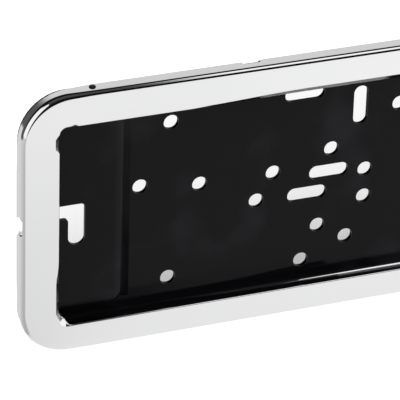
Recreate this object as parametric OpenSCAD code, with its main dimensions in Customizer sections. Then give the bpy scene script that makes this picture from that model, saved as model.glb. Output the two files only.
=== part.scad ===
// Number plate holder: a pressed, polished sheet-metal bezel over a moulded black base tray.
// X runs along the holder, Z is up and the front looks towards -Y. The origin is the middle of
// the rear face of the tray, which lies against the vehicle.

/* [Holder] */
// Overall length of the holder
frame_w = 535; // [515:1:560]
// Overall height of the holder
frame_h = 135; // [130:1:150]
// Depth from the rear face of the tray to the front face of the bezel
total_depth = 15; // [14.5:0.1:18]
// Outer corner radius
corner_r = 24; // [20:0.5:32]

/* [Bezel] */
// Thickness of the bezel sheet
sheet = 0.6; // [0.5:0.05:0.8]
// Outside radius of the fold between the face and the outer flange
edge_r = 2.1; // [1.6:0.1:2.6]
// Depth of the outer flange, measured from the front face
flange_depth = 8.2; // [7:0.1:8.6]
// Width of the left and right rails
side_rail = 19; // [17:0.5:22]
// Width of the top rail
top_rail = 16.6; // [15:0.1:20]
// Width of the bottom rail
bottom_rail = 13.8; // [12.5:0.1:18]
// Corner radius of the window, at the lip
window_r = 3.6; // [3:0.1:9]
// Outside radius of the roll between the face and the lip
roll_r = 1; // [0.9:0.1:2]
// Depth of the lip round the window, measured from the front face
lip_depth = 5.6; // [4.5:0.1:6]
// Radius of the hem bead along the rear edge of the lip
hem_r = 0.75; // [0.5:0.05:0.9]

/* [Bezel cut-outs] */
// Diameter of the snap holes in the top and bottom flanges
snap_hole_d = 3.4; // [2.5:0.1:3.8]
// Distance of the snap holes from the ends of the holder
snap_inset = 36; // [30:1:60]
// Depth of the snap hole centres behind the front face
snap_depth = 5.2; // [4.5:0.1:5.6]
// How far the snap studs of the tray stand out of their holes
stud_rise = 0.7; // [0:0.1:1.2]
// Radius of the rounded end of a snap stud
stud_edge_r = 0.6; // [0.2:0.1:1]
// Width of the prising notches in the top flange
pry_w = 9; // [6:0.1:14]
// How far the prising notches reach in from the rear edge
pry_reach = 2.6; // [1.5:0.1:3]
// How far the rim of the tray shows inside a prising notch
pry_ledge = 2.2; // [1.8:0.1:2.4]
// How far the tray rim reaches into that notch at each side
pry_side = 0.4; // [0.2:0.1:1]
// Distance of the prising notches from the ends of the holder
pry_inset = 115; // [90:0.5:140]
// Height of the release notches in the end flanges
release_h = 6.9; // [5:0.1:8]
// How far the release notches reach in from the rear edge
release_reach = 5.6; // [3:0.1:5.8]
// Height of the release notch centres above the middle of the holder
release_z = 0.7; // [0:0.1:4]
// Corner radius of the prising and release notches
notch_r = 1.6; // [0.5:0.1:2]
// Diameter of the small hole below each release notch
drain_d = 2.6; // [1.5:0.1:3]
// Strip of metal left between the release notch and the small hole
drain_land = 0.6; // [0.4:0.1:1.5]
// Depth of the small hole's centre behind the front face
drain_depth = 4.6; // [4:0.1:5.4]

/* [Tray] */
// Wall thickness of the moulding
wall = 1.9; // [1.6:0.1:2.2]
// Thickness of the floor
floor_t = 2.4; // [1.9:0.1:3]
// Gap between the tray and the inside of the bezel flange
tray_gap = 0.3; // [0.2:0.05:0.5]
// Height of the plate seat above the rear face, which is the front of the edge band
seat_height = 8.1; // [7.5:0.1:8.5]
// Gap between the top of the rim and the inside of the bezel face
rim_gap = 0.8; // [0.7:0.05:1]
// Width of the seat at the ends, from the end of the holder to the sunk part
end_seat = 15; // [13:0.5:18]
// Width of the seat along the top and bottom, from the edge of the holder to the sunk part
long_seat = 13.3; // [12.5:0.1:15]
// Corner radius of the sunk part
well_r = 8; // [5:0.5:12]
// Radius of the rounded edge of the sunk part
well_edge_r = 2.4; // [2.1:0.1:3]

/* [Raised end pads] */
// Distance from the end of the holder to the inner edge of the pad
pad_end = 54.6; // [48:0.2:62]
// Gap between the long sides of the sunk part and a pad
pad_gap = 3.2; // [2:0.1:8]
// Height of the pad face above the floor of the tray
pad_rise = 3; // [2.6:0.1:3.2]
// Corner radius of the pads
pad_r = 6; // [4:0.1:8]
// Radius of the rounded edge of the pads
pad_edge_r = 2.6; // [2.2:0.1:2.6]

/* [Fixing holes] */
// Diameter of the round fixing holes
hole_d = 7.5; // [5:0.1:8.5]
// Height of the middle of the hole pattern below the middle of the holder
pattern_drop = 2.4; // [0:0.1:4]
// Width of the fixing slots
slot_w = 7.4; // [5:0.1:8.5]
// Length of the fixing slots, end to end
slot_len = 20.3; // [14:0.1:22]
// Spacing along the holder of the four outer fixing holes
outer_spacing = 379; // [370:1:392]
// Spacing in height of the four outer fixing holes
outer_spacing_z = 83; // [78:0.5:88]
// Spacing of the lower fixing holes
lower_spacing = 195; // [190:1:202]
// Depth of the lower fixing holes below the middle of the hole pattern
lower_drop = 34.7; // [30:0.1:38]
// Spacing of the upper pair of horizontal slots
slot_spacing = 215.5; // [210:0.5:222]
// Height of the upper pair of horizontal slots above the middle of the hole pattern
slot_rise = 2.3; // [0:0.1:5]
// Spacing of the lower pair of horizontal slots
low_slot_spacing = 237.5; // [234:0.5:244]
// Depth of the lower pair of horizontal slots below the middle of the hole pattern
low_slot_drop = 8.1; // [7:0.1:10]

/* [Release cut-outs] */
// Distance from the end of the holder to the far side of the cut-out
hook_end = 34.7; // [30:0.1:40]
// Width of the upright leg of the cut-out
hook_leg_w = 8.3; // [6:0.1:10]
// Height of the level leg of the cut-out
hook_level_h = 7.2; // [5:0.1:9]
// Height of the middle of the level leg above the middle of the holder
hook_z = 1.6; // [0:0.1:4]
// Lowest point of the cut-out below the middle of the holder
hook_drop = 16.3; // [10:0.1:20]
// Radius of the upper corner of the cut-out
hook_corner_r = 2.3; // [1:0.1:3]
// Radius of the corner between the two legs of the cut-out
elbow_r = 1.7; // [0.5:0.1:3]
// How far the opening beside the release notch reaches in from the end of the holder
side_reach = 7; // [4:0.1:12]

/* [Hidden] */
$fn = 64;

// How far a cut runs past the face that it leaves
over = 1;

// Window of the bezel
window_w = frame_w - 2 * side_rail;
window_h = frame_h - top_rail - bottom_rail;
window_z = (bottom_rail - top_rail) / 2;

// Sunk part of the tray and the height of its pads
well_w = frame_w - 2 * end_seat;
well_h = frame_h - 2 * long_seat;
pad_h = well_h - 2 * pad_gap;

// Outline of the tray, inside the bezel flange
tray_w = frame_w - 2 * (sheet + tray_gap);
tray_h = frame_h - 2 * (sheet + tray_gap);
tray_r = corner_r - sheet - tray_gap;
rim_top = total_depth - sheet - rim_gap;
band_rear = seat_height - wall;

// Snap studs fill their holes but for a small clearance and stand a little proud of the flange
stud_d = snap_hole_d - 2 * tray_gap / 3;
stud_reach = sheet + tray_gap + stud_rise;

// Ends of a pad and of the hollow behind it
pad_inner_x = frame_w / 2 - pad_end;
pad_outer_x = well_w / 2 + wall + pad_edge_r;
hollow_inner_x = pad_inner_x + wall;
hollow_outer_x = well_w / 2;

// Places along the holder and in height that the bezel and the tray share
snap_x = frame_w / 2 - snap_inset;
snap_height = total_depth - snap_depth;
pry_x = frame_w / 2 - pry_inset;
flange_rear = total_depth - flange_depth;

// Round holes on each half, as shares of half the tray's length and height: middle pairs,
// then the inner group, then those beside the pads
plain_hole_shares = [
    [0.767, 0.113], [0.654, 0.060], [0.513, 0.056], [0.544, -0.150], [0.401, 0.179],
    [0.333, -0.029], [0.333, -0.250], [0.422, -0.431], [0.452, -0.699], [0.271, 0.465],
];
// Slots on each half that are not part of a stated pair: along the top, and the upright one
top_slot_share = [0.457, 0.655];
upright_slot_share = [0.3475, 0.497];

// Stands a shape that is drawn on the ground upright, with its top to the front
module upright() {
    rotate([90, 0, 0]) children();
}

// Copies a shape to both ends of the holder
module both_ends() {
    children();
    mirror([1, 0, 0]) children();
}

// Rectangle with rounded corners
module round_rect(w, h, r) {
    square([w - 2 * r, h], center = true);
    square([w, h - 2 * r], center = true);
    for (x = [-1, 1], y = [-1, 1])
        translate([x * (w / 2 - r), y * (h / 2 - r)]) circle(r);
}

// Runs a profile once round a rounded rectangle. The profile's x is 0 on the outline and
// positive outwards, and its y is the height.
module loop_of(w, h, r) {
    for (side = [0, 1]) mirror([side, 0, 0]) {
        translate([w / 2, h / 2 - r, 0]) rotate([90, 0, 0]) linear_extrude(h - 2 * r) children();
        for (end = [0, 1]) mirror([0, end, 0])
            translate([w / 2 - r, h / 2 - r, 0]) rotate_extrude(angle = 90) translate([r, 0]) children();
    }
    for (side = [0, 1]) mirror([0, side, 0])
        translate([-w / 2 + r, h / 2, 0]) rotate([90, 0, 90]) linear_extrude(w - 2 * r) children();
}

// Quarter of a disc or ring about the origin, from the x axis to the y axis
module quarter_ring(r_out, r_in) {
    difference() {
        intersection() {
            circle(r_out);
            square(r_out);
        }
        if (r_in > 0) circle(r_in);
    }
}

// Block with a rounded outline and a rounded upper edge
module soft_block(w, h, r, height, edge) {
    linear_extrude(height - edge) round_rect(w, h, r);
    linear_extrude(height) round_rect(w - 2 * edge, h - 2 * edge, r - edge);
    loop_of(w, h, r) translate([-edge, height - edge]) quarter_ring(edge, 0);
}

// Slot along x, centred on its place
module slot_shape(len, w) {
    square([len - w, w], center = true);
    for (x = [-1, 1]) translate([x * (len - w) / 2, 0]) circle(w / 2);
}

// One quarter turn of a sheet fold along the window, from the face down to the lip
module window_profile() {
    translate([roll_r, total_depth - roll_r]) mirror([1, 0]) quarter_ring(roll_r, roll_r - sheet);
    translate([0, total_depth - lip_depth + hem_r])
        square([sheet, lip_depth - roll_r - hem_r]);
    translate([sheet / 2, total_depth - lip_depth + hem_r]) circle(hem_r);
}

// Notch with rounded corners, drawn about the rear edge of the flange
module flange_notch(w, reach) {
    linear_extrude(sheet + wall + 2 * over) round_rect(w, 2 * reach, min(notch_r, reach / 2));
}

// Everything that is punched out of the outer flange
module flange_cuts() {
    both_ends() {
        for (side = [0, 1]) mirror([0, side, 0])
            translate([snap_x, frame_h / 2 + over, snap_height])
                rotate([90, 0, 0]) cylinder(d = snap_hole_d, h = sheet + 2 * over);
        pry_notch(pry_w, flange_rear, pry_reach);
        translate([frame_w / 2 - sheet - wall - over, release_z, flange_rear])
            rotate([90, 0, 90]) flange_notch(release_h, release_reach);
        translate([frame_w / 2 - sheet - over, release_z - release_h / 2 - drain_land - drain_d / 2,
                   total_depth - drain_depth])
            rotate([0, 90, 0]) cylinder(d = drain_d, h = sheet + 2 * over);
    }
}

// Prising notch through the flange, or through the rim behind it, open at the rear edge
module pry_notch(w, level, reach) {
    translate([pry_x, frame_h / 2 + over, level]) rotate([90, 0, 0]) flange_notch(w, reach);
}

// Pressed sheet: face, folded outer flange, rolled inner edge and lip
module bezel_shell() {
    difference() {
        translate([0, 0, flange_rear]) soft_block(frame_w, frame_h, corner_r, flange_depth, edge_r);
        translate([0, 0, flange_rear - over])
            soft_block(frame_w - 2 * sheet, frame_h - 2 * sheet, corner_r - sheet,
                       flange_depth - sheet + over, edge_r - sheet);
        translate([0, window_z, flange_rear])
            linear_extrude(flange_depth + over)
                round_rect(window_w + 2 * roll_r, window_h + 2 * roll_r, window_r + roll_r);
    }
    translate([0, window_z, 0]) loop_of(window_w, window_h, window_r) window_profile();
}

module front_bezel() {
    color([0.86, 0.87, 0.88]) upright() difference() {
        bezel_shell();
        flange_cuts();
    }
}

// Sunk floor and its wall, up to the rounded edge of the seat
module well() {
    linear_extrude(floor_t) round_rect(well_w + 2 * wall, well_h + 2 * wall, well_r + wall);
    linear_extrude(seat_height - well_edge_r) difference() {
        round_rect(well_w + 2 * wall, well_h + 2 * wall, well_r + wall);
        round_rect(well_w, well_h, well_r);
    }
    loop_of(well_w, well_h, well_r)
        translate([well_edge_r, seat_height - well_edge_r])
            mirror([1, 0]) quarter_ring(well_edge_r, well_edge_r - wall);
}

// Band that the number plate lies on, with the rim that fits inside the bezel flange
module seat_and_rim() {
    translate([0, 0, seat_height - wall]) linear_extrude(wall) difference() {
        round_rect(tray_w, tray_h, tray_r);
        round_rect(well_w + 2 * well_edge_r, well_h + 2 * well_edge_r, well_r + well_edge_r);
    }
    translate([0, 0, seat_height - wall]) linear_extrude(rim_top - seat_height + wall) difference() {
        round_rect(tray_w, tray_h, tray_r);
        round_rect(tray_w - 2 * wall, tray_h - 2 * wall, tray_r - wall);
    }
}

// Raised pad at the end of the well
module pad() {
    intersection() {
        translate([(pad_inner_x + pad_outer_x) / 2, 0, 0])
            soft_block(pad_outer_x - pad_inner_x, pad_h, pad_r, floor_t + pad_rise, pad_edge_r);
        linear_extrude(seat_height) round_rect(well_w + wall, well_h + wall, well_r + wall / 2);
    }
}

// Hollow behind a pad, so that its wall is as thick as the rest
module pad_hollow() {
    translate([(hollow_inner_x + hollow_outer_x) / 2, 0, -over])
        soft_block(hollow_outer_x - hollow_inner_x, pad_h - 2 * wall, pad_r - wall,
                   floor_t + pad_rise - wall + over, pad_edge_r - wall);
}

// Angled cut-out: a level leg that runs out through the end and an upright leg below it
module release_cut() {
    leg_x = frame_w / 2 - hook_end;
    leg_top = hook_z + hook_level_h / 2;
    elbow = [leg_x + hook_leg_w, hook_z - hook_level_h / 2];
    side_low = release_z - release_h / 2 - drain_land - drain_d;
    translate([0, 0, -over]) linear_extrude(rim_top + 2 * over) {
        translate([frame_w / 2 - side_reach, side_low])
            square([side_reach + over, leg_top - side_low]);
        translate([leg_x + hook_corner_r, elbow[1]])
            square([hook_end - hook_corner_r, hook_level_h]);
        translate([leg_x, -hook_drop + hook_leg_w / 2])
            square([hook_leg_w, leg_top - hook_corner_r + hook_drop - hook_leg_w / 2]);
        translate([leg_x + hook_corner_r, leg_top - hook_corner_r]) circle(hook_corner_r);
        translate([leg_x + hook_leg_w / 2, -hook_drop + hook_leg_w / 2]) circle(d = hook_leg_w);
        translate([elbow[0], elbow[1] - elbow_r]) difference() {
            square(elbow_r);
            translate([elbow_r, 0]) circle(elbow_r);
        }
    }
}

// Round hole through the floor, at a place on one half
module fixing_hole(x, z) {
    translate([x, z, -over]) cylinder(d = hole_d, h = floor_t + 2 * over);
}

// Slot through the floor, at a place on one half
module fixing_slot(x, z, turn) {
    translate([x, z, -over]) linear_extrude(floor_t + 2 * over) rotate(turn) slot_shape(slot_len, slot_w);
}

// All round holes and slots of the floor
module fixing_cuts() {
    both_ends() {
        for (side = [-1, 1]) fixing_hole(outer_spacing / 2, side * outer_spacing_z / 2 - pattern_drop);
        fixing_hole(lower_spacing / 2, -lower_drop - pattern_drop);
        for (share = plain_hole_shares) fixing_hole(share[0] * tray_w / 2, share[1] * tray_h / 2);
        fixing_slot(slot_spacing / 2, slot_rise - pattern_drop, 0);
        fixing_slot(low_slot_spacing / 2, -low_slot_drop - pattern_drop, 0);
        fixing_slot(top_slot_share[0] * tray_w / 2, top_slot_share[1] * tray_h / 2, 0);
        fixing_slot(upright_slot_share[0] * tray_w / 2, upright_slot_share[1] * tray_h / 2, 90);
    }
}

// Studs on the rim that snap into the holes of the bezel
module snap_studs() {
    both_ends() for (side = [0, 1]) mirror([0, side, 0])
        translate([snap_x, tray_h / 2, snap_height]) rotate([-90, 0, 0]) rotate_extrude() {
            translate([0, -wall / 2]) square([stud_d / 2, wall / 2 + stud_reach - stud_edge_r]);
            square([stud_d / 2 - stud_edge_r, stud_reach]);
            translate([stud_d / 2 - stud_edge_r, stud_reach - stud_edge_r]) quarter_ring(stud_edge_r, 0);
        }
}

module base_tray() {
    color([0.06, 0.06, 0.065]) upright() difference() {
        union() {
            well();
            seat_and_rim();
            both_ends() pad();
            snap_studs();
        }
        both_ends() {
            pad_hollow();
            release_cut();
            pry_notch(pry_w - 2 * pry_side, band_rear, pry_reach - pry_ledge + flange_rear - band_rear);
        }
        fixing_cuts();
    }
}

base_tray();
front_bezel();
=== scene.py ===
# %% [markdown]
# # A number plate holder, dressed for its portrait
# The real thing is a long, shallow tray of gloss black plastic with a frame of thin polished
# metal snapped over its front. This lesson loads the finished CAD model as a fixed frame,
# sets a camera and a small studio round it, and then makes each piece and each finish.

# %% Load the frame
import math

import bmesh
import bpy
from mathutils import Matrix, Vector


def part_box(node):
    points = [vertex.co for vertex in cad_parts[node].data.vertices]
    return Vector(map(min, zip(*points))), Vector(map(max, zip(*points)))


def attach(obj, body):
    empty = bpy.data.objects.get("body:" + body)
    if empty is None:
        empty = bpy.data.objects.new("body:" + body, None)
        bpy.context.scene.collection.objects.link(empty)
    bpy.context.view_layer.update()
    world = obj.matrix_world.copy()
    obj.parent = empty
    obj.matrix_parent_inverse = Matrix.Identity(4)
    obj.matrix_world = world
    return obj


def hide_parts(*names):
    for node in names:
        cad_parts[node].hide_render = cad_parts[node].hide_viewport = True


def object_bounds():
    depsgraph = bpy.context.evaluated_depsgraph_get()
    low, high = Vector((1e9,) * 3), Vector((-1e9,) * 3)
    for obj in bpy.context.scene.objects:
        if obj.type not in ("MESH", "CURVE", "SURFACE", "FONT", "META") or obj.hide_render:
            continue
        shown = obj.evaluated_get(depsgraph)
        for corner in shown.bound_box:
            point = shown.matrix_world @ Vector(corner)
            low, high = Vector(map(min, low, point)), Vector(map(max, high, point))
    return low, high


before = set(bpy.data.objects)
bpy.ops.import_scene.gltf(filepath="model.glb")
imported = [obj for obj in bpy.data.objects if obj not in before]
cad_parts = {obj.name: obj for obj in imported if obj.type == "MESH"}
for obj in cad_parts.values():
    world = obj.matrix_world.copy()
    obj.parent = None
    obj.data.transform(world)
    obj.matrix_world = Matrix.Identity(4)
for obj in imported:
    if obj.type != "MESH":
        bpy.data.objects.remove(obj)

cad_low, cad_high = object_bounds()
MM = 0.001
print("CAD box in mm:", [round((b - a) / MM, 1) for a, b in zip(cad_low, cad_high)])

# %% [markdown]
# ## The camera
# The photograph was taken from the left and from above, with a long lens, and it shows rather
# more than a third of the holder, its left end. A camera in Blender looks along its own -Z
# axis, so the three axes of the camera are worked out first and then written into its matrix.
# The slight roll is the tilt of the picture that the real camera had.

# %% Camera
CAMERA_PLACE = Vector((-692.27, -1291.81, 741.08)) * MM
CAMERA_TURN = math.radians(21.900)
CAMERA_DOWN = math.radians(28.221)
CAMERA_ROLL = math.radians(1.682)
FOCAL_LENGTH = 299.1
SENSOR = 36.0


def add_camera():
    ahead = Vector((math.sin(CAMERA_TURN) * math.cos(CAMERA_DOWN),
                    math.cos(CAMERA_TURN) * math.cos(CAMERA_DOWN), -math.sin(CAMERA_DOWN)))
    level = Vector((math.cos(CAMERA_TURN), -math.sin(CAMERA_TURN), 0))
    upright = level.cross(ahead)
    right = level * math.cos(CAMERA_ROLL) + upright * math.sin(CAMERA_ROLL)
    data = bpy.data.cameras.new("camera")
    data.lens, data.sensor_width = FOCAL_LENGTH, SENSOR
    data.clip_start, data.clip_end = 0.05, 50
    camera = bpy.data.objects.new("camera", data)
    bpy.context.collection.objects.link(camera)
    camera.matrix_world = Matrix.Translation(CAMERA_PLACE) @ Matrix(
        (right, right.cross(ahead), -ahead)).transposed().to_4x4()
    bpy.context.scene.camera = camera
    return camera


camera = add_camera()
print("camera stands", round(CAMERA_PLACE.length, 3), "m from the middle of the rear face")

# %% [markdown]
# ## Small helpers for node trees
# Materials, the world and the meshes are all made of nodes. Two short helpers keep the cells
# readable: one adds a node and fills its inputs, and the other joins two sockets.


# %% Node helpers
def add_node(tree, kind, inputs=None, **settings):
    """A node of that kind, with its settings and its inputs set. An input may be a socket."""
    node = tree.nodes.new(kind)
    for name, value in settings.items():
        setattr(node, name, value)
    for name, value in (inputs or {}).items():
        if isinstance(value, bpy.types.NodeSocket):
            tree.links.new(value, node.inputs[name])
        else:
            node.inputs[name].default_value = value
    return node


def maths(tree, operation, *values, clamp=False):
    """The result of one Math node."""
    node = add_node(tree, "ShaderNodeMath", dict(enumerate(values)), operation=operation, use_clamp=clamp)
    return node.outputs[0]


def grey(value):
    """A neutral colour of that linear brightness."""
    return (value, value, value, 1)


# %% [markdown]
# ## The studio
# Polished metal has almost no colour of its own: what is seen is the room. The front face is
# white because it mirrors pale paper on the table, and the dark lines along the folds are the
# unlit room in front. So the world here is a plain soft light for everything that scatters
# light, and for mirror rays it is a room with dark walls, a pale backdrop behind and a window
# on each side. The camera itself sees plain white.

# %% Room for mirror rays
SOFT_LIGHT = 0.62
ROOM_DARK = 0.006
BACKDROP_GLOW = 0.68
SHADE_GLOW = 0.09
# The backdrop begins at this angle round the long axis, from the horizon in front over the top
BACKDROP_FROM = 142
SOFT_EDGE = 4
# On the left the backdrop fades out between these slopes, each sideways over depth
BACKDROP_FADE = (-0.20, 0.08)
# The windows: from and to in degrees from straight left or right towards the front, and up
LEFT_WINDOW = (10, 74, -20, 52)
RIGHT_WINDOW = (-6, 46, -4, 40)


def soft_band(tree, value, low, high, edge):
    """1 between low and high and 0 outside, with a smooth slope of that width at each side."""
    rise = add_node(tree, "ShaderNodeMapRange", {"Value": value, "From Min": low - edge / 2,
                    "From Max": low + edge / 2}, interpolation_type="SMOOTHSTEP").outputs[0]
    fall = add_node(tree, "ShaderNodeMapRange", {"Value": value, "From Min": high - edge / 2,
                    "From Max": high + edge / 2, "To Min": 1.0, "To Max": 0.0},
                    interpolation_type="SMOOTHSTEP").outputs[0]
    return maths(tree, "MULTIPLY", rise, fall)


def backdrop(tree, way):
    """The pale backdrop behind the holder, which fades out on the left."""
    above = maths(tree, "MAXIMUM", way["Z"], 0.0)
    turn = maths(tree, "DEGREES", maths(tree, "ARCTAN2", above, maths(tree, "MULTIPLY", way["Y"], -1)))
    behind = soft_band(tree, turn, BACKDROP_FROM, 400, 2 * SOFT_EDGE)
    slope = maths(tree, "DIVIDE", way["X"], maths(tree, "MAXIMUM", way["Y"], 0.02))
    glow = add_node(tree, "ShaderNodeMapRange", {
        "Value": slope, "From Min": BACKDROP_FADE[0], "From Max": BACKDROP_FADE[1],
        "To Min": SHADE_GLOW, "To Max": BACKDROP_GLOW}, interpolation_type="SMOOTHSTEP").outputs[0]
    return maths(tree, "MULTIPLY", behind, glow)


def window(tree, way, side, opening):
    """A bright window on the left, side 1, or on the right, side -1."""
    azimuth_from, azimuth_to, low, top = opening
    sideways = maths(tree, "MULTIPLY", way["X"], -float(side))
    azimuth = maths(tree, "DEGREES", maths(tree, "ARCTAN2", maths(tree, "MULTIPLY", way["Y"], -1), sideways))
    height = maths(tree, "DEGREES", maths(tree, "ARCSINE", way["Z"]))
    across = soft_band(tree, azimuth, azimuth_from, azimuth_to, 8)
    return maths(tree, "MULTIPLY", across, soft_band(tree, height, low, top, 8))


# %% World
def add_world():
    world = bpy.data.worlds.new("studio")
    world.use_nodes = True
    tree = world.node_tree
    tree.nodes.clear()
    way = add_node(tree, "ShaderNodeSeparateXYZ",
                   {"Vector": add_node(tree, "ShaderNodeTexCoord").outputs["Generated"]}).outputs
    windows = maths(tree, "MAXIMUM", window(tree, way, 1, LEFT_WINDOW), window(tree, way, -1, RIGHT_WINDOW))
    room = maths(tree, "MAXIMUM", maths(tree, "MAXIMUM", backdrop(tree, way), windows), ROOM_DARK)
    plain = add_node(tree, "ShaderNodeBackground", {"Color": grey(1), "Strength": SOFT_LIGHT}).outputs[0]
    mirrored = add_node(tree, "ShaderNodeBackground", {"Color": grey(1), "Strength": room}).outputs[0]
    white = add_node(tree, "ShaderNodeBackground", {"Color": grey(1), "Strength": 1.0}).outputs[0]
    ray = add_node(tree, "ShaderNodeLightPath").outputs
    lit = add_node(tree, "ShaderNodeMixShader", {0: ray["Is Glossy Ray"], 1: plain, 2: mirrored}).outputs[0]
    seen = add_node(tree, "ShaderNodeMixShader", {0: ray["Is Camera Ray"], 1: lit, 2: white}).outputs[0]
    add_node(tree, "ShaderNodeOutputWorld", {"Surface": seen})
    bpy.context.scene.world = world
    return world


world = add_world()
print("world nodes:", len(world.node_tree.nodes))

# %% [markdown]
# The floor is a sheet of pale paper that starts a forearm's length in front of the holder. The
# camera sees it lifted until paper in full light is white, while paper in the holder's shadow
# stays a little darker; behind the holder the lift is also lowered in a band, which is painted
# shadow. For mirror rays the paper glows instead, and that glow is painted, shade included: it
# is bright in front, darker to the front left where the photographer stands in the light, and it
# falls off into the distance. So its mirrored glow is a ramp over the angle round the left end
# of the holder.

# %% Floor
PAPER_FRONT, PAPER_BACK, PAPER_SIDE = 0.36, 4.0, 4.0
PAPER_COLOUR = 0.80
# The lift where the paper is in full light, and the lower lifts of the painted shadow
PAPER_LIFT, PAINTED_SHADE_LIFT, PAINTED_FOOT_LIFT = 0.62, 0.31, 0.10
# Behind the holder the lift of the painted shadow grows from its foot to the first distance,
# and leaves the painted shade between the other two
PAINTED_SHADE_DISTANCES = (0.13, 0.205, 0.232)
# The painted shade falls to the back right, this far sideways over depth
PAINTED_SHADE_SLOPE, PAINTED_SHADE_HALF_LENGTH = 0.402, 0.255
# To the rear left the mirrored glow falls off between these distances from the end
PAPER_FAR = (0.42, 0.58)
# Angle round the left end, 0 straight left and 90 straight to the front, and the glow there
PAPER_GLOWS = [(-180, 0.80), (-20, 0.80), (20, 0.68), (56, 0.54), (76, 0.49), (98, 0.86), (180, 0.88)]
# Right in front of the holder the mirrored glow is lowered as painted shade, and further away it is fuller
PAPER_NEAR = (0.87, 1.03)


def painted_paper_glow(tree, place):
    """Painted glow of the paper for mirror rays, shade included, by the angle round the left end and the distance."""
    way = add_node(tree, "ShaderNodeSeparateXYZ", {"Vector": place}).outputs
    from_end = maths(tree, "SUBTRACT", cad_low[0], way["X"])
    ahead = maths(tree, "MULTIPLY", way["Y"], -1)
    angle = maths(tree, "DEGREES", maths(tree, "ARCTAN2", ahead, from_end))
    ramp = add_node(tree, "ShaderNodeValToRGB", {"Fac": add_node(tree, "ShaderNodeMapRange", {
        "Value": angle, "From Min": -180.0, "From Max": 180.0}).outputs[0]})
    ramp.color_ramp.interpolation = "EASE"
    for index, (turn, glow) in enumerate(PAPER_GLOWS):
        share = (turn + 180) / 360
        stop = ramp.color_ramp.elements[0] if index == 0 else ramp.color_ramp.elements.new(share)
        stop.position, stop.color = share, grey(glow)
    reach = maths(tree, "SQRT", maths(tree, "ADD", maths(tree, "POWER", from_end, 2.0), maths(tree, "POWER", ahead, 2.0)))
    rearward = add_node(tree, "ShaderNodeMapRange", {"Value": angle, "From Min": 5.0, "From Max": 35.0,
                        "To Min": 1.0, "To Max": 0.0}).outputs[0]
    left = maths(tree, "MULTIPLY", maths(tree, "GREATER_THAN", from_end, 0.0), rearward)
    far = add_node(tree, "ShaderNodeMapRange", {
        "Value": reach, "From Min": PAPER_FAR[0], "From Max": PAPER_FAR[1],
        "To Min": 1.0, "To Max": SHADE_GLOW / 0.64}, interpolation_type="SMOOTHSTEP").outputs[0]
    fade = add_node(tree, "ShaderNodeMix", {0: left, 2: 1.0, 3: far}, data_type="FLOAT").outputs[0]
    near = add_node(tree, "ShaderNodeMapRange", {"Value": ahead, "From Min": 0.0, "From Max": 0.25,
                    "To Min": PAPER_NEAR[0], "To Max": PAPER_NEAR[1]}).outputs[0]
    return maths(tree, "MULTIPLY", maths(tree, "MULTIPLY", ramp.outputs["Color"], fade), near)


def paper_material():
    material = bpy.data.materials.new("pale_paper")
    material.use_nodes = True
    tree = material.node_tree
    tree.nodes.clear()
    place = add_node(tree, "ShaderNodeTexCoord").outputs["Object"]
    fibres = add_node(tree, "ShaderNodeTexNoise", {"Vector": place, "Scale": 900.0, "Detail": 3.0}).outputs["Fac"]
    bump = add_node(tree, "ShaderNodeBump", {"Height": fibres, "Strength": 0.05, "Distance": 0.0002}).outputs[0]
    paper = add_node(tree, "ShaderNodeBsdfDiffuse", {"Color": grey(PAPER_COLOUR), "Normal": bump}).outputs[0]
    ray = add_node(tree, "ShaderNodeLightPath").outputs
    way = add_node(tree, "ShaderNodeSeparateXYZ", {"Vector": place}).outputs
    # Painted shadow: behind the holder the camera's lift is lower, least at the holder's foot
    behind = add_node(tree, "ShaderNodeMapRange", {
        "Value": way["Y"], "From Min": 0.02, "From Max": PAINTED_SHADE_DISTANCES[0],
        "To Min": PAINTED_FOOT_LIFT, "To Max": PAINTED_SHADE_LIFT}, interpolation_type="SMOOTHSTEP").outputs[0]
    leaving = add_node(tree, "ShaderNodeMapRange", {
        "Value": way["Y"], "From Min": PAINTED_SHADE_DISTANCES[1], "From Max": PAINTED_SHADE_DISTANCES[2],
        "To Max": PAPER_LIFT - PAINTED_SHADE_LIFT}, interpolation_type="SMOOTHSTEP").outputs[0]
    behind = maths(tree, "ADD", behind, leaving)
    # The painted shadow lies in a band behind the holder that leans to the back right
    across = maths(tree, "SUBTRACT", way["X"], maths(tree, "MULTIPLY", way["Y"], PAINTED_SHADE_SLOPE))
    painted_shadow_mask = soft_band(tree, across, -PAINTED_SHADE_HALF_LENGTH, PAINTED_SHADE_HALF_LENGTH, 0.012)
    painted_shadow_mask = maths(tree, "MULTIPLY", painted_shadow_mask, maths(tree, "GREATER_THAN", way["Y"], 0.0))
    lift = add_node(tree, "ShaderNodeMix", {0: painted_shadow_mask, 2: PAPER_LIFT, 3: behind}, data_type="FLOAT").outputs[0]
    lift = add_node(tree, "ShaderNodeEmission", {
        "Color": grey(1), "Strength": maths(tree, "MULTIPLY", ray["Is Camera Ray"], lift)}).outputs[0]
    seen = add_node(tree, "ShaderNodeAddShader", {0: paper, 1: lift}).outputs[0]
    # For mirror rays the paper is a painted glow, with its shade painted in
    glow = add_node(tree, "ShaderNodeEmission", {"Color": grey(1), "Strength": painted_paper_glow(tree, place)}).outputs[0]
    out = add_node(tree, "ShaderNodeMixShader", {0: ray["Is Glossy Ray"], 1: seen, 2: glow}).outputs[0]
    add_node(tree, "ShaderNodeOutputMaterial", {"Surface": out})
    return material


def stage_sheet(name, low, high, level, material):
    """A flat level sheet of the studio between two corners, each an x and a y."""
    corners = [(low[0], low[1], level), (high[0], low[1], level), (high[0], high[1], level), (low[0], high[1], level)]
    mesh = bpy.data.meshes.new(name)
    mesh.from_pydata(corners, [], [(0, 1, 2, 3)])
    mesh.materials.append(material)
    sheet = bpy.data.objects.new(name, mesh)
    bpy.context.collection.objects.link(sheet)
    return sheet


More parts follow.
